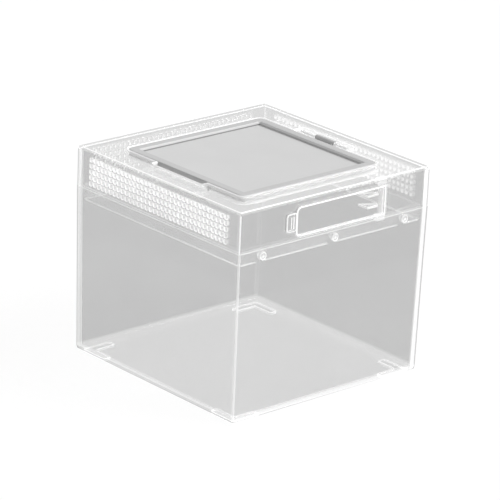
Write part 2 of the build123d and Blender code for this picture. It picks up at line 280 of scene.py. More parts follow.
def lathe(profile, steps=24):
    """Points and faces of a closed turned shape: (radius, height) rows carried round the height axis."""
    angle = np.linspace(0, 2 * math.pi, steps, endpoint=False)
    ring = np.stack([np.cos(angle), np.sin(angle)], 1)
    points = np.concatenate([np.column_stack([ring * r, np.full(steps, h)]) for r, h in profile])
    faces = skin(len(profile), steps).tolist()
    faces.append(list(range(steps)))
    faces.append(list(range((len(profile) - 1) * steps, len(profile) * steps))[::-1])
    return points, faces


def upright_front(points, y_front):
    """Stands a flat shape up in a front wall: its height points towards -Y from the wall's front plane."""
    return np.column_stack([points[:, 0], y_front - points[:, 2], points[:, 1]])


def upright_rear(points, y_rear):
    """Stands a flat shape up in a rear wall, facing +Y."""
    return np.column_stack([-points[:, 0], y_rear + points[:, 2], points[:, 1]])


def upright_side(points, x_outer, sign):
    """Stands a flat shape up in a side wall, facing +X for sign 1 and -X for sign -1."""
    return np.column_stack([x_outer + sign * points[:, 2], sign * points[:, 0], points[:, 1]])


def put_piece(name, points, faces, material, body, white=None, nodes=(), sharp=38):
    """Makes the mesh in metres, shades it smooth between sharp edges and joins it to its body."""
    mesh = bpy.data.meshes.new(name)
    mesh.from_pydata((np.asarray(points, float) * MM).tolist(), [], faces)
    mesh.update()
    mesh.polygons.foreach_set("use_smooth", np.ones(len(mesh.polygons), bool))
    mesh.set_sharp_from_angle(angle=math.radians(sharp))
    # edge_white holds painted highlight where it is positive and painted shade where it is negative
    whiteness = np.zeros(len(mesh.vertices)) if white is None else np.asarray(white, float)
    mesh.attributes.new("edge_white", "FLOAT", "POINT").data.foreach_set("value", whiteness)
    mesh.materials.append(material)
    piece = bpy.data.objects.new(name, mesh)
    bpy.context.scene.collection.objects.link(piece)
    normals = piece.modifiers.new("even_normals", "WEIGHTED_NORMAL")
    normals.keep_sharp = True
    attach(piece, body)
    if nodes:
        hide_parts(*nodes)
    return piece


# Materials


class Nodes:
    """A short way to add nodes to a material or a world and link them."""

    def __init__(self, owner):
        owner.use_nodes = True
        self.owner = owner
        self.tree = owner.node_tree

    def add(self, kind, settings=None, **inputs):
        """A new node. An input is named i0, i1 and so on by its number, or by its name."""
        node = self.tree.nodes.new(kind)
        for key, value in (settings or {}).items():
            setattr(node, key, value)
        for key, value in inputs.items():
            numbered = key[0] == "i" and key[1:].isdigit()
            self.feed(node, int(key[1:]) if numbered else key.replace("_", " "), value)
        return node

    def feed(self, node, socket, value):
        """Links a socket to another node's output, or sets it to a value."""
        if isinstance(value, bpy.types.NodeSocket):
            self.tree.links.new(value, node.inputs[socket])
        else:
            node.inputs[socket].default_value = value

    def place(self):
        """The X, Y and Z of the Object coordinates."""
        object_place = self.add("ShaderNodeTexCoord").outputs["Object"]
        return self.add("ShaderNodeSeparateXYZ", None, Vector=object_place).outputs

    def math(self, operation, a, b=0.0, clamp=False):
        """The operation on one or two values, kept between 0 and 1 if clamped."""
        node = self.add("ShaderNodeMath", {"operation": operation, "use_clamp": clamp}, i0=a, i1=b)
        return node.outputs[0]

    def noise(self, scale, detail=3.0, stretch=(1, 1, 1)):
        """Soft noise of 0 to 1 over the Object coordinates, whose axes can be multiplied by a stretch."""
        place = self.add("ShaderNodeTexCoord").outputs["Object"]
        if stretch != (1, 1, 1):
            place = self.add("ShaderNodeMapping", None, Vector=place, Scale=stretch).outputs[0]
        return self.add("ShaderNodeTexNoise", None, Vector=place, Scale=scale, Detail=detail).outputs[0]

    def span(self, value, low, high, to_low, to_high):
        """Carries the span from low to high over to another span, and stays at its ends beyond it."""
        node = self.add("ShaderNodeMapRange", None, i0=value, i1=low, i2=high, i3=to_low, i4=to_high)
        return node.outputs[0]

    def blend(self, share, a, b):
        """The colour a where the share is 0 and b where it is 1."""
        node = self.add("ShaderNodeMix", {"data_type": "RGBA"})
        self.feed(node, 0, share)
        self.feed(node, 6, a)
        self.feed(node, 7, b)
        return node.outputs[2]

    def near(self, value, level, reach=0.15):
        """1 where a length lies within the reach of a level in millimetres, and 0 elsewhere."""
        away = self.math("ABSOLUTE", self.math("SUBTRACT", value, level * MM))
        return self.math("LESS_THAN", away, reach * MM)

    def bump(self, height, distance, strength=1.0):
        """A normal bent by a height map, with the distance in metres."""
        node = self.add("ShaderNodeBump", None, Strength=strength, Distance=distance, Height=height)
        return node.outputs[0]

    def mix(self, share, a, b):
        """The shader a where the share is 0 and b where it is 1."""
        return self.add("ShaderNodeMixShader", None, i0=share, i1=a, i2=b).outputs[0]


def even(value):
    """A neutral colour of one linear value."""
    return (value, value, value, 1.0)


def grey(level):
    """A neutral colour from a display level of 0 to 255."""
    share = level / 255
    return even(share / 12.92 if share <= 0.04045 else ((share + 0.055) / 1.055) ** 2.4)


WHITE = even(1.0)
BLACK = even(0.0)


def band_measures(n, place):
    """The lengths that a band can measure.

    They are the height, the distance towards the two far edges of the top, and the distance towards the
    right-hand and the left-hand upright corner, where the lean of the tub's walls is taken out.
    """
    across = n.math("SUBTRACT", place[0], place[1])
    below_rim = n.math("MAXIMUM", n.math("SUBTRACT", RIM * MM, place[2]), 0.0)
    lean = n.math("MULTIPLY", below_rim, 2 * LEAN)
    return {
        "height": place[2],
        "far": n.math("MAXIMUM", place[0], place[1]),
        "right": n.math("ADD", lean, across),
        "left": n.math("SUBTRACT", lean, across),
    }


def white_and_dark(n, place, bands):
    """How white and how dark the plastic is, from the edge_white attribute and from the bands.

    A band is (measure, low, high, amount) in millimetres and fades out just beyond its ends. The white is
    painted highlight. A negative amount, or a negative edge_white, darkens the tint instead, as painted
    shade.
    """
    band_fade = 0.2
    measures = band_measures(n, place)
    white = n.add("ShaderNodeAttribute", {"attribute_name": "edge_white"}).outputs["Fac"]
    dark = n.math("MULTIPLY", white, -1.0, clamp=True)
    for measure, low, high, amount in bands:
        middle = (low + high) / 2 * MM
        half = (high - low) / 2 * MM
        away = n.math("ABSOLUTE", n.math("SUBTRACT", measures[measure], middle))
        inside = n.span(away, half, half + band_fade * MM, abs(amount), 0.0)
        if amount > 0:
            white = n.math("MAXIMUM", white, inside)
        else:
            dark = n.math("MAXIMUM", dark, inside)
    return white, dark


def joint_planes(n, place):
    """Where the walls meet each other, the rim and the top, and strips beside it where the sheen stops."""
    dull_strip = 0.9
    outside = n.math("GREATER_THAN", n.math("ABSOLUTE", place[0]), (UPPER_INNER + 0.15) * MM)
    met = n.math("MULTIPLY", outside, n.near(n.math("ABSOLUTE", place[1]), UPPER_INNER))
    dull = met
    for height in (RIM, TOP_UNDERSIDE):
        met = n.math("MAXIMUM", met, n.near(place[2], height))
        dull = n.math("MAXIMUM", dull, n.near(place[2], height, dull_strip))
    return met, dull


def floor_region(n, place, body, dark, floor_tint):
    """A paler tint on the tub's floor and beside it, and a darker foot of the left-hand wall as painted shade
    on its unlit side.
    """
    left_reach = -97.0
    paler_low = 6.2
    paler_high = 6.8
    foot_high = 5.4
    painted_foot_shade = 0.15
    left_face = n.math("LESS_THAN", place[0], left_reach * MM)
    above = n.math("MAXIMUM", n.span(place[2], paler_low * MM, paler_high * MM, 0.0, 1.0), left_face)
    body = n.blend(above, even(floor_tint), body)
    # Painted shade on the foot of the left-hand wall
    between = n.math("LESS_THAN", n.math("ABSOLUTE", place[1]), BETWEEN_CORNERS * MM)
    beside_floor = n.math("MULTIPLY", between, n.math("LESS_THAN", place[2], foot_high * MM))
    foot = n.math("MULTIPLY", n.math("MULTIPLY", left_face, beside_floor), painted_foot_shade)
    return body, n.math("MAXIMUM", dark, foot)


def film_shader(n, body, dull):
    """A see-through film in the body's colour, with a sheen that grows with the fifth power of the angle."""
    rub = n.span(n.noise(60.0, 5.0, (1, 1, 6)), 0.45, 0.75, 0.03, 0.09)
    ripple = n.bump(n.noise(35.0, 2.0), 0.00004, 0.25)
    see = n.add("ShaderNodeBsdfTransparent", None, Color=body).outputs[0]
    sheen = n.add("ShaderNodeBsdfGlossy", None, Color=WHITE, Roughness=rub, Normal=ripple).outputs[0]
    facing = n.math("POWER", n.add("ShaderNodeLayerWeight", None, Blend=0.5).outputs["Facing"], 5.0)
    shine = n.math("MULTIPLY", n.span(facing, 0.0, 1.0, 0.03, 0.7), n.math("SUBTRACT", 1.0, dull))
    return n.mix(shine, see, sheen)


def glass_shader(n, body, tint):
    """Clear plastic that hardly bends light, with a glossy coat, and see-through for the lamp."""
    glass = n.add("ShaderNodeBsdfPrincipled", None, Roughness=0.02, IOR=1.03)
    n.feed(glass, "Base Color", n.math("POWER", body, 2.0))
    n.feed(glass, "Transmission Weight", 1.0)
    n.feed(glass, "Coat Weight", 0.8)
    n.feed(glass, "Coat IOR", 1.36)
    n.feed(glass, "Coat Roughness", 0.05)
    lamp_ray = n.add("ShaderNodeLightPath").outputs["Is Shadow Ray"]
    shade = n.add("ShaderNodeBsdfTransparent", None, Color=even(tint)).outputs[0]
    return n.mix(lamp_ray, glass.outputs[0], shade)


def clear_plastic(name, tint, film=True, bands=(), haze=0.0, glow=0.45, floor_tint=None, joints=False):
    """Clear moulded plastic: a cloudy grey tint with painted white highlights on its edges, which glow a
    little as painted light.

    The white comes from the edge_white attribute, from the bands and from an even milky haze, and a fine
    noise breaks it up. On the edges and in the bands it is painted highlight, and the emission that makes the
    white glow is painted light. Where the plastic is darkened it isn't white, and the darkening is painted
    shade. A film lets what is behind through by a Transparent shader, and anything else by glass. The joint
    planes have no tint.
    """
    n = Nodes(bpy.data.materials.new(name))
    shader = n.tree.nodes["Principled BSDF"]
    place = n.place()
    white, dark = white_and_dark(n, place, bands)
    grain = n.span(n.noise(900.0, 4.0), 0.3, 0.7, 0.8, 0.95)
    clean = n.span(dark, 0.0, 0.1, 1.0, 0.0)
    # The share of the white shader: painted highlight from the edges and bands, with the even milky haze
    # added
    painted_highlight_and_haze = n.math("MULTIPLY", n.math("MULTIPLY", white, clean, clamp=True), grain)
    if haze:
        painted_highlight_and_haze = n.math("ADD", n.math("MULTIPLY", painted_highlight_and_haze, 1 - haze), haze, clamp=True)
    body = n.blend(n.noise(14.0, 2.0), even(tint * 0.988), even(min(1.0, tint * 1.012)))
    dull = 0.0
    if joints:
        met, dull = joint_planes(n, place)
        body = n.blend(met, body, WHITE)
    if floor_tint:
        body, dark = floor_region(n, place, body, dark, floor_tint)
    # Painted shade: where the plastic is darkened, its tint turns towards black
    body = n.blend(dark, body, BLACK)
    clear = film_shader(n, body, dull) if film else glass_shader(n, body, tint)
    n.feed(shader, "Base Color", even(0.8))
    n.feed(shader, "Roughness", n.span(grain, 0.8, 0.95, 0.3, 0.42))
    n.feed(shader, "IOR", 1.49)
    # The emission is painted light that makes the white edges and the haze glow
    n.feed(shader, "Emission Color", WHITE)
    n.feed(shader, "Emission Strength", glow)
    n.tree.links.new(n.mix(painted_highlight_and_haze, clear, shader.outputs[0]), n.tree.nodes["Material Output"].inputs[0])
    return n.owner


def lid_painted_light_and_shade(n, colour):
    """The lid frame's colour with painted light and shade: paler on the window's walls as painted light that
    makes them look lit, darker at their foot as painted shadow in the gap, and darker on the unlit left-hand
    side as painted shade.
    """
    # Painted light on the window's walls, and painted shade at their foot and on the left-hand side
    wall_painted_light = grey(228)
    front_foot_painted_shade = grey(150)
    side_foot_painted_shade = grey(205)
    left_painted_shade = grey(180)
    behind_wall = 0.25
    before_side_wall = 0.4
    left_depth = 0.3
    foot_full = PANEL_TOP + 0.9
    foot_end = PANEL_TOP + 1.3
    place = n.place()
    beside = n.math("ABSOLUTE", n.math("SUBTRACT", place[0], LID_MIDDLE * MM))
    along = n.math("ABSOLUTE", place[1])
    in_width = n.math("LESS_THAN", beside, (WINDOW_HALF[0] + behind_wall) * MM)
    in_length = n.math("LESS_THAN", along, (WINDOW_HALF[1] + behind_wall) * MM)
    window = n.math("MULTIPLY", in_width, in_length)
    foot = n.span(place[2], foot_full * MM, foot_end * MM, 1.0, 0.0)
    side_wall = n.math("GREATER_THAN", beside, (WINDOW_HALF[0] - before_side_wall) * MM)
    foot_colour = n.blend(side_wall, front_foot_painted_shade, side_foot_painted_shade)
    colour = n.blend(window, colour, n.blend(foot, wall_painted_light, foot_colour))
    left_side = n.math("LESS_THAN", place[0], (LID_MIDDLE - LID_HALF[0] + left_depth) * MM)
    return n.blend(left_side, colour, left_painted_shade)


def grey_plastic(name, level, grain_depth, roughness, painted_shading=False):
    """Opaque grey moulded plastic with a fine spark-eroded grain and faint uneven patches."""
    n = Nodes(bpy.data.materials.new(name))
    shader = n.tree.nodes["Principled BSDF"]
    colour = n.blend(n.noise(25.0, 4.0), grey(level - 4), grey(level + 4))
    # For the lid frame, painted light and shade over its own colour
    if painted_shading:
        colour = lid_painted_light_and_shade(n, colour)
    fine = n.noise(1600.0, 3.0)
    n.feed(shader, "Base Color", colour)
    n.feed(shader, "Roughness", n.span(fine, 0.3, 0.7, roughness - 0.07, roughness + 0.07))
    n.feed(shader, "Normal", n.bump(fine, grain_depth * MM, 0.6))
    n.feed(shader, "IOR", 1.49)
    return n.owner


# Painted light on the clear parts: positive bands are painted highlights beside the upright corners, the far
# edges of the top, the skirt and the well, and negative ones are painted dark lines
painted_corner_light_bands = (
    ("right", 192.6, 193.4, -0.05),
    ("right", 194.0, 197.6, 0.55),
    ("right", 198.4, 199.6, -0.13),
    ("left", 193.0, 193.8, -0.07),
    ("left", 194.6, 197.4, 0.25),
    ("left", 198.4, 199.6, -0.13),
)
painted_far_edge_light_bands = (
    ("far", 99.15, 99.8, -0.12),
    ("far", 97.9, 98.9, 0.9),
    ("far", 94.6, 97.3, -0.05),
)
skirt_painted_highlight_band = ("height", 130.7, 131.5, 0.8)
well_painted_highlight_band = ("height", 169.4, 169.7, 0.7)

# Each clear material's glow is painted light: emission on its white, strongest on the feet so that they shine
# through the tub
walls = clear_plastic("clear_wall_plastic", 0.8515, bands=painted_corner_light_bands, floor_tint=0.985, joints=True)
top_sheet = clear_plastic("clear_top_plastic", 0.9, film=False, bands=painted_far_edge_light_bands, joints=True)
door_clear = clear_plastic("clear_door_plastic", 0.8515, film=False)
pin_clear = clear_plastic("clear_pin_plastic", 0.95, film=False, haze=0.12)
fittings = clear_plastic("clear_fitting_plastic", 0.97, film=False, haze=0.25)
socket_clear = clear_plastic("clear_socket_plastic", 0.98, film=False, haze=0.75)
skirt_clear = clear_plastic("clear_skirt_plastic", 0.99, film=False, haze=0.13, glow=0.4, bands=(skirt_painted_highlight_band,))
well_clear = clear_plastic("clear_well_plastic", 0.98, film=False, haze=0.1, glow=0.35, bands=(well_painted_highlight_band,))
foot_clear = clear_plastic("foot_plastic", 0.96, film=False, glow=1.0)
frame_grey = grey_plastic("lid_frame_plastic", 200, 0.012, 0.5, painted_shading=True)
panel_grey = grey_plastic("lid_panel_sheet", 215, 0.02, 0.62)
pin_grey = grey_plastic("hinge_pin_plastic", 195, 0.006, 0.4)


# Tub


def square_ring(half, radii, corner_white):
    """A rounded square loop with an extra point close to each end of each side, and its corner whiteness.

    The corners come in the order rear right, rear left, front left and front right, each with a radius.
    """
    angle = np.linspace(0, math.pi / 2, ARC_STEPS)
    loop = []
    for number, (c, s) in enumerate(((1, 0), (0, 1), (-1, 0), (0, -1))):
        radius = radii[number]
        run = half - radius
        quarter = np.concatenate([
            np.column_stack([run + radius * np.cos(angle), run + radius * np.sin(angle)]),
            [[run - FADE, half], [radii[(number + 1) % 4] + FADE - half, half]],
        ])
        loop.append(quarter @ np.array([[c, s], [-s, c]]))
    white = np.array([1.0] * ARC_STEPS + [0.0, 0.0])
    return np.concatenate(loop), np.concatenate([white * w for w in corner_white])


def tub_rows():
    """The tub's rings as rows of half width, height, corner radii, whiteness and corner whiteness.

    They run up the outside, over the rim and down the inside. The outer half width grows evenly with height
    and the inner one stays a wall's thickness inside it. Each rounding is a quarter circle, and its whiteness
    is painted highlight. The one at the bottom is dark between two of its angles, which are in radians: a
    painted dark line.
    """
    # Painted highlight, or painted shade where negative, on each upright corner outside and inside
    outside = (0.06, -0.13, 0.45, -0.13)
    inside = (0.2, 0.35, 0.0, 0.7)
    line_from = 0.2
    line_to = 1.2
    bottom = FOOT_TOP + JOINT_GAP
    rim = RIM - JOINT_GAP
    over_bottom = bottom + BOTTOM_ROUND + FADE
    under_rim = rim - RIM_ROUND - FADE
    over_floor = FLOOR + FLOOR_ROUND + FADE
    corner = np.full(4, OUTER_CORNER)
    low_corner = np.full(4, BOTTOM_CORNER)
    bend = np.array(INNER_CORNERS)

    def outer(z):
        return HALF - (RIM - z) * LEAN

    def inner(z):
        return outer(z) - WALL

    rows = [(outer(bottom) - BOTTOM_ROUND - FADE, bottom, corner, 0.0, outside)]
    for a in np.linspace(0, math.pi / 2, 7):
        half = outer(bottom) - BOTTOM_ROUND * (1 - math.sin(a))
        z = bottom + BOTTOM_ROUND * (1 - math.cos(a))
        rows.append((half, z, low_corner, BOTTOM_LINE if line_from < a < line_to else BOTTOM_WHITE, outside))
    rows.append((outer(over_bottom), over_bottom, corner, 0.0, outside))
    rows.append((outer(under_rim), under_rim, corner, 0.0, outside))
    for a in np.linspace(0, math.pi / 2, 4):
        half = outer(rim) - RIM_ROUND * (1 - math.cos(a))
        rows.append((half, rim - RIM_ROUND * (1 - math.sin(a)), corner, RIM_WHITE, outside))
    rows.append((outer(rim) - RIM_FLAT, rim, corner, 0.0, outside))
    rows.append((inner(rim) + RIM_FLAT, rim, bend, 0.0, inside))
    for a in np.linspace(math.pi / 2, 0, 4):
        half = inner(rim) + RIM_ROUND * (1 - math.cos(a))
        rows.append((half, rim - RIM_ROUND * (1 - math.sin(a)), bend, RIM_WHITE, inside))
    rows.append((inner(under_rim), under_rim, bend, 0.0, inside))
    rows.append((inner(over_floor), over_floor, bend, 0.0, inside))
    for a in np.linspace(0, math.pi / 2, 5):
        half = inner(FLOOR) - FLOOR_ROUND * (1 - math.cos(a))
        rows.append((half, FLOOR + FLOOR_ROUND * (1 - math.sin(a)), bend, FLOOR_WHITE, inside))
    rows.append((inner(FLOOR) - FLOOR_ROUND - FADE, FLOOR, bend, 0.0, inside))
    return rows


def settle_bottom(points, white, size):
    """Sets the bottom's painted light: dims the painted highlight lines of the far bottom edges, deepens the
    front painted dark line and darkens the foot of the left wall with painted shade.
    """
    far_reach = 90.0
    front_reach = -94.0
    left_reach = -96.0
    far_line = 0.05
    far_bottom = 0.08
    far_floor = 0.12
    front_line = -0.55
    left_foot_painted_shade = -0.12
    x, y, z = points.T
    quarter, step = np.divmod(np.arange(len(points)) % size, ARC_STEPS + 2)
    end_corner = ((quarter == 1) | (quarter == 3)) & (step < ARC_STEPS)
    far_side = (x > far_reach) | (y > far_reach)
    front_side = y < front_reach
    left_side = (x < left_reach) & (np.abs(y) < BETWEEN_CORNERS)
    bottom_arc = z < FOOT_TOP + JOINT_GAP + BOTTOM_ROUND + 0.04
    floor_arc = (z > FLOOR - 0.1) & (z < FLOOR + FLOOR_ROUND + 0.05)
    # Painted highlight lines and painted dark lines on the bottom edges, and painted shade on the left wall's
    # foot
    white[far_side & (white < BOTTOM_LINE + 0.1) & ~end_corner] = far_line
    white[far_side & bottom_arc & (white > BOTTOM_WHITE - 0.1)] = far_bottom
    white[far_side & floor_arc & (white > FLOOR_WHITE - 0.05)] = far_floor
    white[front_side & (white < BOTTOM_LINE + 0.1)] = front_line
    white[left_side & (z < FLOOR) & (white > 0)] = left_foot_painted_shade
    return white


def tub():
    """The clear tub as rounded square rings, closed under the bottom and over the floor."""
    rows = tub_rows()
    points, white = [], []
    for half, z, radii, ring_white, corner_white in rows:
        loop, corner_white = square_ring(half, radii, corner_white)
        points.append(np.column_stack([loop, np.full(len(loop), z)]))
        darker = np.minimum(corner_white, ring_white)
        white.append(np.where(darker < 0, darker, np.maximum(corner_white, ring_white)))
    size = len(points[0])
    white[0][:] = 0.0
    white[-1][:] = 0.0
    faces = skin(len(rows), size, inward=True).tolist()
    faces.append(list(range(size))[::-1])
    faces.append(list(range((len(rows) - 1) * size, len(rows) * size)))
    points = np.concatenate(points)
    return points, faces, settle_bottom(points, np.concatenate(white), size)


points, faces, white = tub()
put_piece("tub", points, faces, walls, "tank", white, ["tank_tub"])


# Feet and locating pins


def foot_outline(side_sign, depth_sign):
    """The corners and radii of one angled foot, anticlockwise: the front left one or a mirror image of it."""
    out, end, inside = FOOT_REACH, FOOT_END, FOOT_REACH + FOOT_WIDTH
    corners = [(out, out), (end, out), (end, inside), (inside, inside), (inside, end), (out, end)]
    corners = [(x * -side_sign, y * -depth_sign) for x, y in corners]
    radii = [FOOT_CORNER] * 3 + [FOOT_BEND] + [FOOT_CORNER] * 2
    if side_sign != depth_sign:
        return corners[::-1], radii[::-1]
    return corners, radii


# The feet's edge whiteness is painted highlight
for depth_name, depth_sign in (("front", -1), ("rear", 1)):
    for side_name, side_sign in (("left", -1), ("right", 1)):
        foot = foot_outline(side_sign, depth_sign)
        points, faces, white = slab(foot, [], 0.0, FOOT_TOP - JOINT_GAP, rounding=0.3,
                                    edge=dict(band=0.7, side=0.3, under=0.5, over=0.9))
        put_piece(f"foot_pad_{depth_name}_{side_name}", points, faces, foot_clear, "tank",
                  white, [f"foot_{depth_name}_{side_name}"])


def locating_pins():
    """Three turned pins: a flat head with a rounded rim, a straight shank and a cone with a rounded tip.

    The profile's rows are radius, depth and whiteness, which is painted highlight.
    """
    steps = 24
    head = [(0.4, 0.0, 0.6), (1.4, 0.0, 0.2), (2.5, 0.0, 0.3), (2.95, 0.0, 0.9), (3.28, 0.12, 0.9)]
    shank = [(3.44, 0.45, 0.8), (3.45, 1.1, 0.3), (3.45, 2.8, 0.2), (3.3, 3.4, 0.7)]
    cone = [(2.3, 5.3, 0.2), (1.15, 7.4, 0.7), (0.85, 7.75, 0.9), (0.35, 7.95, 0.9)]
    rows = np.array(head + shank + cone)
    points, faces = lathe(rows[:, :2], steps)
    all_points, all_faces = [], []
    for number, x in enumerate(PIN_PLACES):
        lying = np.column_stack([points[:, 0] + x, PIN_FACE + points[:, 2], points[:, 1] + PIN_LEVEL])
        all_points.append(lying)
        all_faces += [[i + number * len(points) for i in face] for face in faces]
    return np.concatenate(all_points), all_faces, np.tile(np.repeat(rows[:, 2], steps), len(PIN_PLACES))


points, faces, white = locating_pins()
put_piece("rim_pins", points, faces, pin_clear, "tank", white, ["locating_pins"])


# Upper section


def vent_grid(width, low, high):
    """The places of a vent wall's grid lines: the border, the fading lines beside it and the holes' cells."""
    end = width / 2 - VENT_EDGE
    field = (np.arange(VENT_COLUMNS + 1) - VENT_COLUMNS / 2) * VENT_PITCH
    levels = VENT_LEVEL + (np.arange(VENT_ROWS + 1) - VENT_ROWS / 2) * VENT_PITCH
    across = np.concatenate([[-end, FADE - end], field, [end - FADE, end]])
    upward = np.concatenate([[low + VENT_EDGE], levels, [high - VENT_EDGE]])
    return across, upward


def border_directions(at, width, low, high):
    """The way out of the border at each of its points, and 1 at the points of its upright parts."""
    beside = np.abs(at[:, 0]) > width / 2 - VENT_EDGE - TINY
    beneath = at[:, 1] < low + VENT_EDGE + TINY
    above = at[:, 1] > high - VENT_EDGE - TINY
    out = np.column_stack([np.sign(at[:, 0]) * beside, above.astype(float) - beneath])
    return out, beside.astype(float)


def border_steps(front, back):
    """Rows of (outset, depth) round the border's edge: a quarter circle at each face, the side between."""
    turn = np.linspace(0, math.pi / 2, EDGE_STEPS + 1)
    from_front = [(VENT_EDGE * math.sin(a), front - VENT_EDGE * (1 - math.cos(a))) for a in turn[1:]]
    to_back = [(VENT_EDGE * math.cos(a), back + VENT_EDGE * (1 - math.sin(a))) for a in turn[:-1]]
    return from_front + to_back


def vent_wall(width, low, high, front_edge, back_edge):
    """Points, faces and whiteness of an upright wall with rows of rounded square holes, in its own plane.

    A grid of lines a pitch apart covers the field of holes, and each of its cells is four flat pieces round a
    hole of twelve points whose rim is chamfered at the front and narrows towards the back. Plain cells reach
    out to the wall's border, and the border is carried round the rounded edge, whose upright parts have a
    whiteness for each face. The whiteness is painted highlight on the holes' rims and the border's edge.
    """
    front, back = 0.0, JOINT_GAP - WALL
    across, upward = vent_grid(width, low, high)
    plane = np.stack(np.meshgrid(across, upward, indexing="ij"), 2).reshape(-1, 2)
    behind = len(plane)
    index = np.arange(behind).reshape(len(across), len(upward))
    points = [np.column_stack([plane, np.full(behind, depth)]) for depth in (front, back)]
    white = [np.zeros(behind), np.zeros(behind)]

    cells = np.stack([index[:-1, :-1], index[1:, :-1], index[1:, 1:], index[:-1, 1:]], 2)
    holed = np.zeros(cells.shape[:2], bool)
    holed[2:-2, 1:-1] = True
    plain = cells[~holed]
    faces = plain.tolist() + (plain[:, ::-1] + behind).tolist()

    # The holes' rims, as rows of half width, depth and whiteness, which is painted highlight
    cells = cells[holed]
    middle = plane[cells].mean(1)
    hole = outline(rectangle(-1.0, 1.0, -1.0, 1.0), [HOLE_CORNER] * 4, 0, HOLE_STEPS)
    rims = ((2.05, front, 0.0), (1.93, front, 0.45), (1.77, front - 0.3, 0.8), (1.75, front - 0.8, 0.5),
            (1.68, back + 0.6, 0.3), (1.68, back, 0.0))
    block = len(cells) * HOLE_POINTS
    for half, depth, whiteness in rims:
        ring = middle[:, None, :] + hole[None, :, :] * half
        points.append(np.column_stack([ring.reshape(-1, 2), np.full(block, depth)]))
        white.append(np.full(block, whiteness))
    first = 2 * behind + np.arange(len(cells))[:, None] * HOLE_POINTS
    last = first + (len(rims) - 1) * block
    for side in range(4):
        around = (HOLE_STEPS * side + 1 + np.arange(HOLE_STEPS + 1))[::-1] % HOLE_POINTS
        ends = cells[:, [side, (side + 1) % 4]]
        faces += np.concatenate([ends, first + around], 1).tolist()
        faces += np.concatenate([ends + behind, last + around], 1)[:, ::-1].tolist()
    k = np.arange(HOLE_POINTS)
    after = (k + 1) % HOLE_POINTS
    for level in range(len(rims) - 1):
        a = first + level * block
        b = a + block
        faces += np.stack([a + k, a + after, b + after, b + k], 2).reshape(-1, 4).tolist()

    # The border, from the front face round the edge to the back face
    loop = np.concatenate([index[:-1, 0], index[-1, :-1], index[1:, -1][::-1], index[0, 1:][::-1]])
    size = len(loop)
    out, upright = border_directions(plane[loop], width, low, high)
    start = sum(len(p) for p in points)
    rows = [loop]
    for number, (grow, depth) in enumerate(border_steps(front, back)):
        points.append(np.column_stack([plane[loop] + out * grow, np.full(size, depth)]))
        white.append(upright * (front_edge if number < EDGE_STEPS else back_edge))
        rows.append(start + number * size + np.arange(size))
    rows.append(loop + behind)
    for a, b in zip(rows[:-1], rows[1:]):
        faces += np.column_stack([a, b, np.roll(b, -1), np.roll(a, -1)]).tolist()
    white[0][loop] = upright * front_edge
    white[1][loop] = upright * back_edge
    return np.concatenate(points), faces, np.concatenate(white)


def doorway(grow, end):
    """The corners and radii of the doorway with its tab notch, grown by a gap, up to a right-hand end."""
    low, high, left = DOOR_LOW - grow, DOOR_HIGH + grow, DOOR_LEFT - grow
    tab_low, tab_high, tab_left = TAB_LOW - grow, TAB_HIGH + grow, DOOR_LEFT - TAB_LENGTH - grow
    corners = [(left, low), (end, low), (end, high), (left, high), (left, tab_high), (tab_left, tab_high),
               (tab_left, tab_low), (left, tab_low)]
    radii = [DOOR_CORNER, SHARP_CORNER, SHARP_CORNER, DOOR_CORNER, SHARP_CORNER, TAB_CORNER, TAB_CORNER,
             SHARP_CORNER]
    return corners, radii


def front_wall():
    """The front wall with the doorway, with a painted highlight at its near corner and a faint one round the
    doorway.
    """
    corner_width = 0.7
    corner_white = 0.9
    door_reach = 60.0
    door_white = 0.12
    border = (rectangle(-UPPER_HALF, UPPER_HALF, JOINT_LOW, JOINT_HIGH), [FRONT_CORNER] * 4)
    opening = doorway(DOOR_GAP, DOORWAY_RIGHT)
    points, faces, white = slab(border, [opening], JOINT_GAP - WALL, 0.0, rounding=0.6,
                                edge=dict(under=0.0, fade=0.2), hole_edge=dict(fade=0.2))
    near_corner = points[:, 0] < corner_width - UPPER_HALF
    around_door = np.abs(points[:, 0]) < door_reach
    share = np.where(near_corner, corner_white, np.where(around_door, door_white, 0.0))
    return upright_front(points, -UPPER_HALF), faces, white * share


def well_outline():
    """The corners and radii of the top plate's opening: the lid's well with its two side pockets."""
    x0, x1 = LID_MIDDLE - LID_HALF[0] - LID_GAP, LID_MIDDLE + LID_HALF[0] + LID_GAP
    y = LID_HALF[1] + LID_GAP
    finger_out, finger_half = FINGER_POCKET
    hinge_out, hinge_half = HINGE_POCKET
    corners = [(x0, -y), (x1, -y), (x1, -hinge_half), (x1 + hinge_out, -hinge_half),
               (x1 + hinge_out, hinge_half), (x1, hinge_half), (x1, y), (x0, y), (x0, finger_half),
               (x0 - finger_out, finger_half), (x0 - finger_out, -finger_half), (x0, -finger_half)]
    pocket = [POCKET_BEND, POCKET_CORNER, POCKET_CORNER, POCKET_BEND]
    return corners, [WELL_CORNER, WELL_CORNER] + pocket + [WELL_CORNER, WELL_CORNER] + pocket


def whiter_back(points, white):
    """The painted highlights of a vent wall that is seen from inside: more white on the back of its holes and
    its border.
    """
    depth = -2.0
    gain = 2.4
    return np.where(points[:, 2] < depth, np.minimum(white * gain, 1.0), white)


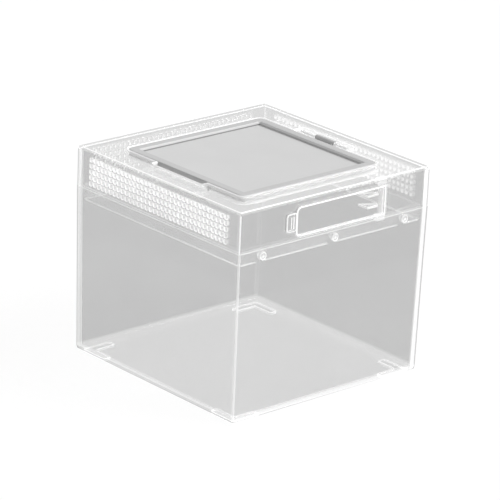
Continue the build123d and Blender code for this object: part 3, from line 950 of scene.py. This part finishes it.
points, faces, white = vent_wall(2 * (UPPER_INNER - JOINT_GAP), JOINT_LOW, JOINT_HIGH, 0.0, 0.5)
for side_name, sign, side_white in (("left", -1, white), ("right", 1, whiter_back(points, white))):
    put_piece(f"{side_name}_vent_panel", upright_side(points, sign * UPPER_HALF, sign), faces, walls,
              "upper_section", side_white, [f"upper_{side_name}_vent_wall"])
points, faces, white = vent_wall(2 * UPPER_HALF, JOINT_LOW, JOINT_HIGH, 0.2, 0.0)
put_piece("rear_vent_panel", upright_rear(points, UPPER_HALF), faces, walls, "upper_section",
          white, ["upper_rear_vent_wall"])
points, faces, white = front_wall()
put_piece("front_panel", points, faces, walls, "upper_section", white, ["upper_front_wall"])
# The top sheet's edge whiteness is painted highlight
plate = (rectangle(-UPPER_HALF, UPPER_HALF, -UPPER_HALF, UPPER_HALF), [TOP_CORNER] * 4)
points, faces, white = slab(plate, [well_outline()], TOP_UNDERSIDE + JOINT_GAP, TOP, rounding=0.6,
                            edge=dict(under=0.0, over=0.9), hole_edge=dict(side=0.7, under=0.4, over=0.9))
put_piece("top_sheet", points, faces, top_sheet, "upper_section", white, ["top_plate"])


# Lid


def lid_loop(half, radius, z):
    """One rounded rectangle of the lid at a height."""
    x, y = half
    loop = outline(rectangle(LID_MIDDLE - x, LID_MIDDLE + x, -y, y), [radius] * 4)
    return np.column_stack([loop, np.full(len(loop), z)])


def lid_ring():
    """The lid frame's section carried round: outside, rounded top, window wall, seat step and underside."""
    rows = [(LID_HALF, LID_CORNER, LID_LOW)]
    for a in np.linspace(0, math.pi / 2, 4):
        inset = LID_ROUND * (1 - math.cos(a))
        height = LID_TOP - LID_ROUND * (1 - math.sin(a))
        rows.append(((LID_HALF[0] - inset, LID_HALF[1] - inset), LID_CORNER - inset, height))
    for a in np.linspace(math.pi / 2, 0, 4):
        grow = LID_ROUND * (1 - math.cos(a))
        height = LID_TOP - LID_ROUND * (1 - math.sin(a))
        rows.append(((WINDOW_HALF[0] + grow, WINDOW_HALF[1] + grow), WINDOW_CORNER + grow, height))
    rows.append((WINDOW_HALF, WINDOW_CORNER, PANEL_TOP))
    rows.append((SEAT_HALF, SEAT_CORNER, PANEL_TOP))
    rows.append((SEAT_HALF, SEAT_CORNER, LID_LOW))
    loops = [lid_loop(half, radius, z) for half, radius, z in rows]
    faces = skin(len(loops), len(loops[0]), closed=True, inward=True)
    return np.concatenate(loops), faces.tolist()


points, faces = lid_ring()
put_piece("lid_rim", points, faces, frame_grey, "lid", None, ["lid_frame"])
sheet_x, sheet_y = SHEET_HALF
sheet = (rectangle(LID_MIDDLE - sheet_x, LID_MIDDLE + sheet_x, -sheet_y, sheet_y), [SHEET_CORNER] * 4)
points, faces, white = slab(sheet, [], PANEL_LOW + SHEET_GAP, PANEL_TOP - SHEET_GAP, rounding=0.15)
put_piece("lid_sheet", points, faces, panel_grey, "lid", None, ["lid_panel"])


# Feeding door


def door_tab():
    """The finger tab with its grip ribs, which stand up from its face."""
    face = (rectangle(DOOR_LEFT - TAB_LENGTH, DOOR_LEFT - JOINT_GAP, TAB_LOW, TAB_HIGH),
            [TAB_CORNER, SHARP_CORNER, SHARP_CORNER, TAB_CORNER])
    points, faces, white = slab(face, [], JOINT_GAP - WALL, 0.0, rounding=0.35,
                                edge=dict(band=0.6, side=0.1, under=0.4, over=0.75))
    for x in RIB_PLACES:
        corners = rectangle(x - RIB_HALF, x + RIB_HALF, TAB_LOW + TAB_CORNER, TAB_HIGH - TAB_CORNER)
        rib = (corners, [RIB_CORNER] * 4)
        rib_points, rib_faces, _ = slab(rib, [], RIB_FOOT, RIB_TOP, rounding=0.12, edge=dict(fade=0.1))
        faces = faces + [[i + len(points) for i in face] for face in rib_faces]
        points = np.concatenate([points, rib_points])
        white = np.concatenate([white, np.full(len(rib_points), 0.7)])
    return upright_front(points, -UPPER_HALF), faces, white


# The door's, tab's and arms' edge whiteness is painted highlight
leaf = (doorway(0.0, DOOR_END)[0][:4], [DOOR_CORNER, SHARP_CORNER, SHARP_CORNER, DOOR_CORNER])
points, faces, white = slab(leaf, [], JOINT_GAP - WALL, 0.0, rounding=0.35,
                            edge=dict(band=0.8, side=0.1, under=0.5))
put_piece("door_leaf", upright_front(points, -UPPER_HALF), faces, door_clear, "feeding_door",
          white, ["door_panel"])
points, faces, white = door_tab()
put_piece("door_tab", points, faces, door_clear, "feeding_door", white, ["door_finger_tab"])
for arm_name, level in ARM_LEVELS.items():
    arm = (ARM_CORNERS, ARM_RADII)
    points, faces, white = slab(arm, [], level - ARM_HALF, level + ARM_HALF, rounding=0.3,
                                edge=dict(band=0.7, side=1.0))
    put_piece(f"door_{arm_name}_arm", points, faces, pin_clear, "feeding_door", white,
              [f"door_arm_{arm_name}"])


# The model's own pieces that stay as they are and get a finish
finishes = {
    "locating_skirt": skirt_clear,
    "lid_well": well_clear,
    "finger_pocket": well_clear,
    "lid_hinge_lug_front": fittings,
    "lid_hinge_lug_rear": fittings,
    "door_socket_lower": socket_clear,
    "door_socket_upper": socket_clear,
    "door_hinge_pin": fittings,
    "door_hinge_barrel": fittings,
    "lid_hinge_pin": pin_grey,
    "panel_clamp_ring": frame_grey,
    "lid_hinge_barrel": frame_grey,
}
for node, material in finishes.items():
    for material_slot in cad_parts[node].material_slots:
        material_slot.material = material


# Stage and light


def seen_rays(n):
    """1 for rays that the camera sends, also by way of a gloss or a clear part, and 0 for the others."""
    path = n.add("ShaderNodeLightPath").outputs
    onward = n.math("MAXIMUM", path["Is Glossy Ray"], path["Is Transmission Ray"])
    return n.math("MAXIMUM", path["Is Camera Ray"], onward)


def white_floor():
    """A white floor, mostly of its own brightness where it is seen, that keeps a soft shadow."""
    floor_reach = 6.0
    own_share = 0.93
    own_brightness = 1.02
    reflectance = 0.96
    corners = [(x, y, 0.0) for x, y in rectangle(-floor_reach, floor_reach, -floor_reach, floor_reach)]
    mesh = bpy.data.meshes.new("floor")
    mesh.from_pydata(corners, [], [(0, 1, 2, 3)])
    n = Nodes(bpy.data.materials.new("white_floor"))
    diffuse = n.add("ShaderNodeBsdfDiffuse", None, Color=even(reflectance)).outputs[0]
    glow = n.add("ShaderNodeEmission", None, Color=WHITE, Strength=own_brightness).outputs[0]
    floor_mix = n.mix(n.math("MULTIPLY", seen_rays(n), own_share), diffuse, glow)
    n.tree.links.new(floor_mix, n.tree.nodes["Material Output"].inputs[0])
    mesh.materials.append(n.owner)
    floor = bpy.data.objects.new("floor", mesh)
    bpy.context.scene.collection.objects.link(floor)


def white_room():
    """An even white room that is brighter to the eye than to the surfaces."""
    room_light = 0.42
    room_seen = 1.0
    world = bpy.data.worlds.new("studio")
    bpy.context.scene.world = world
    n = Nodes(world)
    background = n.tree.nodes["Background"]
    n.feed(background, "Color", WHITE)
    n.feed(background, "Strength", n.span(seen_rays(n), 0.0, 1.0, room_light, room_seen))


def soft_lamp():
    """One soft lamp from the right and the front."""
    towards_lamp = Vector((0.7, -0.8, 1.0))
    lamp = bpy.data.lights.new("soft_lamp", "SUN")
    lamp.energy = 2.35
    lamp.angle = math.radians(25)
    lamp_object = bpy.data.objects.new("soft_lamp", lamp)
    bpy.context.scene.collection.objects.link(lamp_object)
    lamp_object.rotation_euler = towards_lamp.to_track_quat("Z", "Y").to_euler()


white_floor()
white_room()
soft_lamp()


# Camera


def photo_camera():
    """The camera at the photograph's place, looking at the sight point from a distance in metres.

    Azimuth, elevation and roll are in radians. The nudge moves the camera up and to the left by its length.
    """
    azimuth = 0.7313
    elevation = 0.3487
    roll = 0.0428
    distance = 2.757235
    sight = Vector((22.504, 23.879, 84.0)) * MM
    nudge = 0.408 * MM
    flat = math.cos(elevation)
    look = Vector((math.sin(azimuth) * flat, math.cos(azimuth) * flat, -math.sin(elevation)))
    level_right = Vector((math.cos(azimuth), -math.sin(azimuth), 0))
    level_up = level_right.cross(look)
    right = level_right * math.cos(roll) + level_up * math.sin(roll)
    up = level_up * math.cos(roll) - level_right * math.sin(roll)
    place = sight - look * distance + (up - right) * nudge
    camera_data = bpy.data.cameras.new("camera")
    camera_data.sensor_width = 36.0
    camera_data.lens = 243.2
    camera = bpy.data.objects.new("camera", camera_data)
    bpy.context.scene.collection.objects.link(camera)
    camera.matrix_world = Matrix((
        (right.x, up.x, -look.x, place.x),
        (right.y, up.y, -look.y, place.y),
        (right.z, up.z, -look.z, place.z),
        (0, 0, 0, 1),
    ))
    return camera


bpy.context.scene.camera = photo_camera()
bpy.context.scene.view_settings.view_transform = "Standard"
